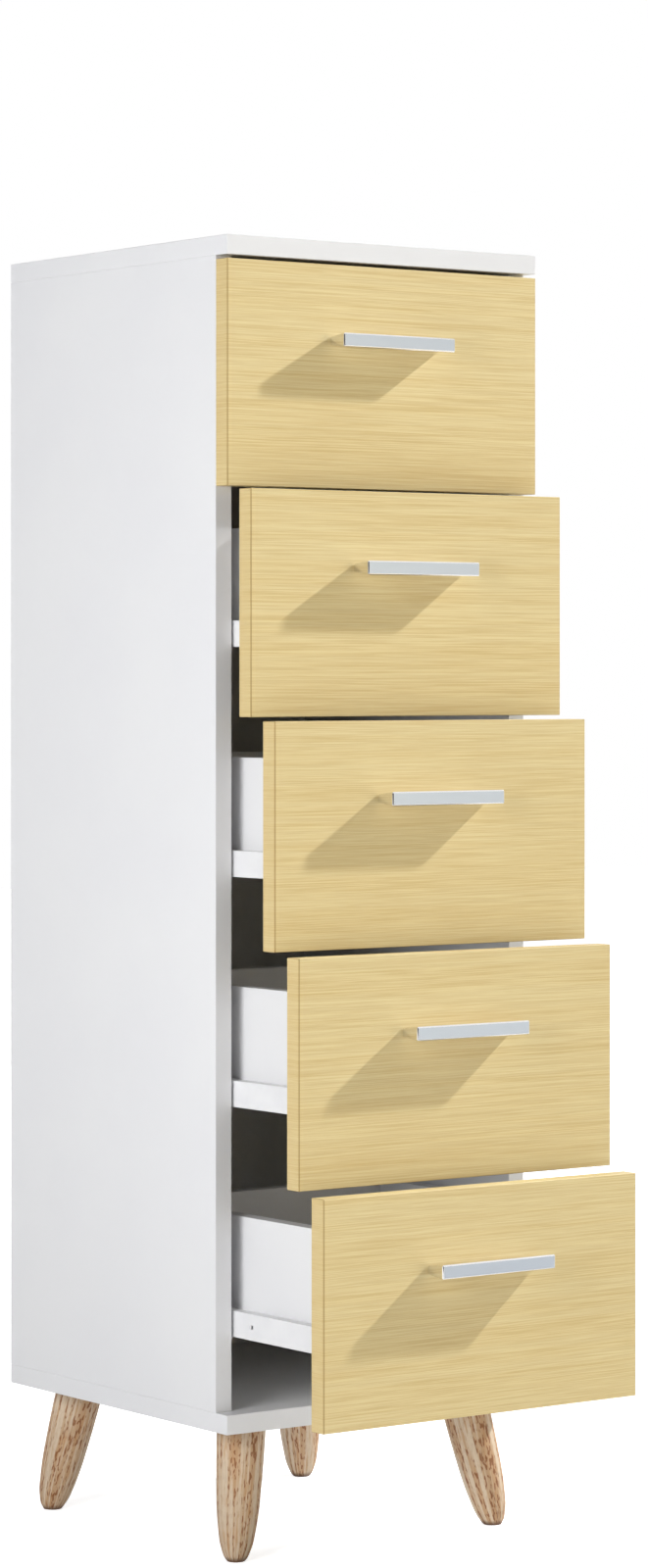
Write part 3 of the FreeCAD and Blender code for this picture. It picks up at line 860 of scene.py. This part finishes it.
@dataclass
class BarHandle:
    """A solid bar that flares from the drawer front to its face, with flat bevels all round."""

    length: float = 108 * MM
    face_height: float = 11.2 * MM
    root_height: float = 6.4 * MM
    bevel: float = 1.0 * MM
    rounding: float = 0.16 * MM
    sharp_edge: float = math.radians(20)

    def corners(self, front: float, back: float, level: float) -> np.ndarray:
        """The bar's eight corners: its section carried from one end to the other.

        The section has half the root's height up and down at the drawer front, and half the
        face's height at the face.

        Args:
            front: the place of its face.
            back: the place of the drawer front.
            level: the height of its middle.

        Returns:
            The corners, four to an end, in turn round the section.
        """
        root, face = self.root_height / 2, self.face_height / 2
        depth = np.array([back, back, front, front])
        height = level + np.array([-root, root, face, -face])
        across = np.array([[-1.0], [1.0]]) * self.length / 2
        return np.stack(np.broadcast_arrays(across, depth, height), axis=-1)

    def build(self, level: int) -> bpy.types.Object:
        """Build one handle. Its edges are cut at 45 degrees, and then each new edge is rounded.

        Args:
            level: the drawer's number from the top.

        Returns:
            The handle.
        """
        node = f"drawer_{level}_handle"
        low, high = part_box(node)
        points = self.corners(low.y, high.y, (low.z + high.z) / 2)
        ends = [[0, 1, 2, 3], [7, 6, 5, 4]]
        around = [[near, near + 4, (near + 1) % 4 + 4, (near + 1) % 4] for near in range(4)]
        piece = made_piece(f"drawer_{level}_bar_handle", points, ends + around, BAR_METAL)
        settle(piece)
        for label, width, steps in (("flat bevel", self.bevel, 1),
                                    ("fine rounding", self.rounding, 3)):
            cut = piece.modifiers.new(label, "BEVEL")
            cut.limit_method = "ANGLE"
            cut.angle_limit = self.sharp_edge
            cut.width = width
            cut.segments = steps
            cut.harden_normals = True
        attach(piece, f"drawer_{level}")
        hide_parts(node)
        return piece


@dataclass
class HandleScrews:
    """Two pan-head screws with cross recesses on the back of each drawer front."""

    spacing: float = 96 * MM
    head_radius: float = 4.1 * MM
    head_height: float = 2.5 * MM
    recess: float = 1.5 * MM
    arm: float = 2.3 * MM
    half_arm: float = 0.55 * MM
    side_fade: float = 0.08 * MM
    end_fade: float = 0.12 * MM
    fullness: float = 2.2
    middle_share: float = 0.02
    round_steps: int = 48
    rings: int = 20

    def head(self) -> np.ndarray:
        """Points of one head, in rings from its rim on the board to its middle.

        The height over the board at a distance r from the middle is
        head_height * (1 - (r / head_radius) ** 3) ** (1 / fullness), less the recess. Its depth
        fades out where the distance from the nearer arm's centre line passes half_arm, and at
        the arm's end.

        Returns:
            Points as across, up and out of the board.
        """
        share = np.linspace(1, self.middle_share, self.rings)[:, None]
        angle = np.linspace(0, 2 * np.pi, self.round_steps, endpoint=False)[None, :]
        reach = share * self.head_radius
        across, up = reach * np.cos(angle), reach * np.sin(angle)
        dome = self.head_height * (1 - share ** 3) ** (1 / self.fullness)
        narrow = np.minimum(np.abs(across), np.abs(up))
        edge = 1 / (1 + np.exp((narrow - self.half_arm) / self.side_fade))
        end = 1 / (1 + np.exp((reach - self.arm) / self.end_fade))
        out = dome - self.recess * edge * end
        return np.stack(np.broadcast_arrays(across, up, out), axis=-1)

    def build(self, level: int) -> bpy.types.Object:
        """Build the two heads of one drawer, which turn their faces into the drawer.

        Args:
            level: the drawer's number from the top.

        Returns:
            The pair of heads.
        """
        low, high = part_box(f"drawer_{level}_handle")
        middle_z = (low.z + high.z) / 2
        board_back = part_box(f"drawer_{level}_front")[1].y
        head = self.head()
        rows, columns = head.shape[:2]
        points, faces = [], []
        for number, side in enumerate(Side):
            placed = np.stack([side.value * self.spacing / 2 + head[..., 0],
                               board_back + head[..., 2], middle_z + head[..., 1]], axis=-1)
            offset = number * rows * columns
            faces += rows_to_faces(rows, columns, offset)[:, ::-1].tolist()
            last = offset + (rows - 1) * columns
            faces.append(list(range(last, last + columns))[::-1])
            faces.append(list(range(offset, offset + columns)))
            points.append(placed.reshape(-1, 3))
        piece = made_piece(f"drawer_{level}_handle_screws", np.concatenate(points), faces, ZINC)
        settle(piece)
        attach(piece, f"drawer_{level}")
        return piece


# Studio


@dataclass(frozen=True)
class Lamp:
    """A round soft lamp: its place, its width in metres, its power in watts and its colour."""

    name: str
    place: tuple[float, float, float]
    size: float
    power: float
    colour: Colour = (1.0, 1.0, 1.0)


KEY = Lamp("key", (3.9, -1.3, 3.4), 0.2, 305.0, (0.98, 0.99, 1.0))
SIDE_KEY = replace(KEY, name="side key", power=135.0)
LEFT_FILL = Lamp("left fill", (-2.0, -0.72, 0.9), 1.3, 33.0, (0.985, 0.99, 1.0))
FRONT_FILL = Lamp("front fill", (1.8, -4.2, 0.7), 2.2, 22.0, (1.0, 0.86, 0.5))
BACK_FILL = Lamp("back fill", (0.6, 3.6, 1.6), 2.2, 45.0)


@dataclass
class Studio:
    """A plain pale floor, soft light, and the camera at the photograph's place."""

    camera_place: Vector = field(default_factory=lambda: Vector((-2.05102, -2.82646, 0.68095)))
    camera_turn: float = 0.628
    focal_pixels: float = 4482.21
    picture: tuple[int, int] = (661, 1600)
    horizon_row: float = 687.239
    sensor: float = 36.0
    floor_half: float = 9.0
    floor_tone: float = 0.8
    glow_reach: tuple[float, float] = (0.8, 4.0)
    glow_seen: float = 0.7
    glow_mirrored: float = 0.25
    dark_side: tuple[float, float, float] = (-0.75, -0.66, 0.0)
    dark_edge: tuple[float, float] = (0.86, 0.95)
    dark_share: float = 0.1
    room_light: float = 0.07
    aim: tuple[float, float, float] = (0.0, 0.0, 0.5)

    def floor(self) -> bpy.types.Object:
        """A wide floor that keeps the object's shadow.

        What the lamps give it fades with distance, and a glow that rises with distance makes up
        for it, so that no horizon shows. A gloss finds the glow dark where it finds the world
        dark.

        Returns:
            The floor.
        """
        half = self.floor_half
        points = np.array([[-half, -half, 0], [half, -half, 0], [half, half, 0], [-half, half, 0]])
        material = bpy.data.materials.new("pale floor")
        material.use_nodes = True
        tree = Tree(material.node_tree)
        material.node_tree.nodes.clear()
        out = tree.add("ShaderNodeOutputMaterial")
        matt = tree.add("ShaderNodeBsdfDiffuse")
        matt.inputs["Color"].default_value = (*[self.floor_tone] * 3, 1)
        glow = tree.add("ShaderNodeEmission")
        path = tree.add("ShaderNodeLightPath")
        away = tree.add("ShaderNodeVectorMath", operation="LENGTH")
        place = tree.add("ShaderNodeTexCoord").outputs["Object"]
        tree.join(place, away.inputs[0])
        seen, mirrored = [tree.math("MULTIPLY", path.outputs[f"Is {ray} Ray"],
                                    tree.remap(away.outputs["Value"], *self.glow_reach, near, 1.0))
                          for ray, near in (("Camera", self.glow_seen),
                                            ("Glossy", self.glow_mirrored))]
        mirrored = tree.math("MULTIPLY", mirrored, self.dark_card(tree, place))
        tree.join(tree.math("ADD", seen, mirrored), glow.inputs["Strength"])
        both = tree.add("ShaderNodeAddShader")
        tree.join(matt.outputs[0], both.inputs[0])
        tree.join(glow.outputs[0], both.inputs[1])
        tree.join(both.outputs[0], out.inputs["Surface"])
        mesh = bpy.data.meshes.new("floor")
        mesh.from_pydata(points.tolist(), [], [[0, 1, 2, 3]])
        mesh.materials.append(material)
        ground = bpy.data.objects.new("floor", mesh)
        bpy.context.scene.collection.objects.link(ground)
        return ground

    def dark_card(self, tree: Tree, way: bpy.types.NodeSocket) -> bpy.types.NodeSocket:
        """How bright a gloss finds the room: full, but dark about the way of dark_side.

        It is the cosine of the angle between the two ways, carried to a share of light.

        Args:
            tree: the tree that needs it.
            way: the socket that says which way the gloss looks, of any length.

        Returns:
            The share's socket.
        """
        unit = tree.add("ShaderNodeVectorMath", operation="NORMALIZE")
        tree.join(way, unit.inputs[0])
        facing = tree.add("ShaderNodeVectorMath", operation="DOT_PRODUCT")
        tree.join(unit.outputs[0], facing.inputs[0])
        facing.inputs[1].default_value = self.dark_side
        return tree.remap(facing.outputs["Value"], *self.dark_edge, 1.0, self.dark_share)

    def world(self) -> None:
        """A plain world: an even soft light, and white where the camera or a gloss sees it.

        A gloss finds it dark about the way that dark_side points, which draws the left bevels of
        the handles.
        """
        world = bpy.data.worlds.new("soft room")
        world.use_nodes = True
        bpy.context.scene.world = world
        tree = Tree(world.node_tree)
        back = next(node for node in world.node_tree.nodes if node.type == "BACKGROUND")
        path = tree.add("ShaderNodeLightPath")
        shade = self.dark_card(tree, tree.add("ShaderNodeTexCoord").outputs["Generated"])
        gloss = tree.math("MULTIPLY", path.outputs["Is Glossy Ray"], shade)
        seen = tree.math("MAXIMUM", path.outputs["Is Camera Ray"], gloss)
        more = tree.math("MULTIPLY", seen, 1.0 - self.room_light)
        strength = tree.math("ADD", more, self.room_light)
        tree.join(strength, back.inputs["Strength"])
        back.inputs["Color"].default_value = (1, 1, 1, 1)

    def lamp(self, plan: Lamp) -> bpy.types.Object:
        """Put up a lamp and turn it to the middle of the object.

        Args:
            plan: the lamp's place and light.

        Returns:
            The lamp.
        """
        light = bpy.data.lights.new(plan.name, "AREA")
        light.shape = "DISK"
        light.size = plan.size
        light.energy = plan.power
        light.color = plan.colour
        lamp = bpy.data.objects.new(plan.name, light)
        place = Vector(plan.place)
        lamp.location = place
        lamp.rotation_euler = (place - Vector(self.aim)).to_track_quat("Z", "Y").to_euler()
        lamp.visible_camera = False
        bpy.context.scene.collection.objects.link(lamp)
        return lamp

    def share(self, lamp: bpy.types.Object, nodes: Iterable[str], state: Linking) -> None:
        """Keep a lamp's light off some boards, or on them alone. They shade the rest either way.

        Args:
            lamp: the lamp.
            nodes: the boards.
            state: whether its light stays off them or on them.
        """
        boards = bpy.data.collections.new(f"boards of the {lamp.name}")
        for node in nodes:
            boards.objects.link(frame["nodes"][node])
        for board in boards.collection_objects:
            board.light_linking.link_state = state.value
        lamp.light_linking.receiver_collection = boards

    def lights(self) -> None:
        """A key from the right, close to the plane of the fronts, and wide fills round the object.

        The white pieces that face the key squarely would clip, so they get a weaker one.
        """
        facing = ["right_side_panel", "left_side_panel", "back_panel", "bottom_panel",
                  "cabinet_rails"]
        facing += [f"drawer_{level}_{piece}" for level in range(1, LEVELS + 1)
                   for piece in ("left_side", "right_side", "runners")]
        self.share(self.lamp(KEY), facing, Linking.OFF)
        self.share(self.lamp(SIDE_KEY), facing, Linking.ON)
        self.lamp(LEFT_FILL).visible_glossy = False
        self.lamp(FRONT_FILL)
        self.lamp(BACK_FILL)

    def camera(self) -> bpy.types.Object:
        """The camera: level, turned to the right, its frame shifted down to the object.

        Returns:
            The camera.
        """
        lens = bpy.data.cameras.new("camera")
        width, height = self.picture
        lens.sensor_fit = "AUTO"
        lens.sensor_width = self.sensor
        lens.lens = self.focal_pixels / height * self.sensor
        lens.shift_y = -(height / 2 - self.horizon_row) / height
        camera = bpy.data.objects.new("camera", lens)
        camera.matrix_world = (Matrix.Translation(self.camera_place)
                               @ Matrix.Rotation(-self.camera_turn, 4, "Z")
                               @ Matrix.Rotation(math.pi / 2, 4, "X"))
        bpy.context.scene.collection.objects.link(camera)
        bpy.context.scene.camera = camera
        return camera

    def set_up(self) -> None:
        """Build the floor, world, lights and camera, and set the plain view."""
        self.floor()
        self.world()
        self.lights()
        self.camera()
        bpy.context.scene.view_settings.view_transform = "Standard"


def main() -> None:
    """Dress the solids, build the pieces that stand in for some of them, and set up the studio."""
    logging.basicConfig(level=logging.INFO, format="%(name)s: %(message)s")
    log.info("%d solids dressed", CadPieces().dress())
    for leg in TurnedLegs().build():
        log.info("built %s", leg.name)
    handle, screws = BarHandle(), HandleScrews()
    for level in range(1, LEVELS + 1):
        log.info("built %s", handle.build(level).name)
        log.info("built %s", screws.build(level).name)
    Studio().set_up()


if __name__ == "__main__":
    main()
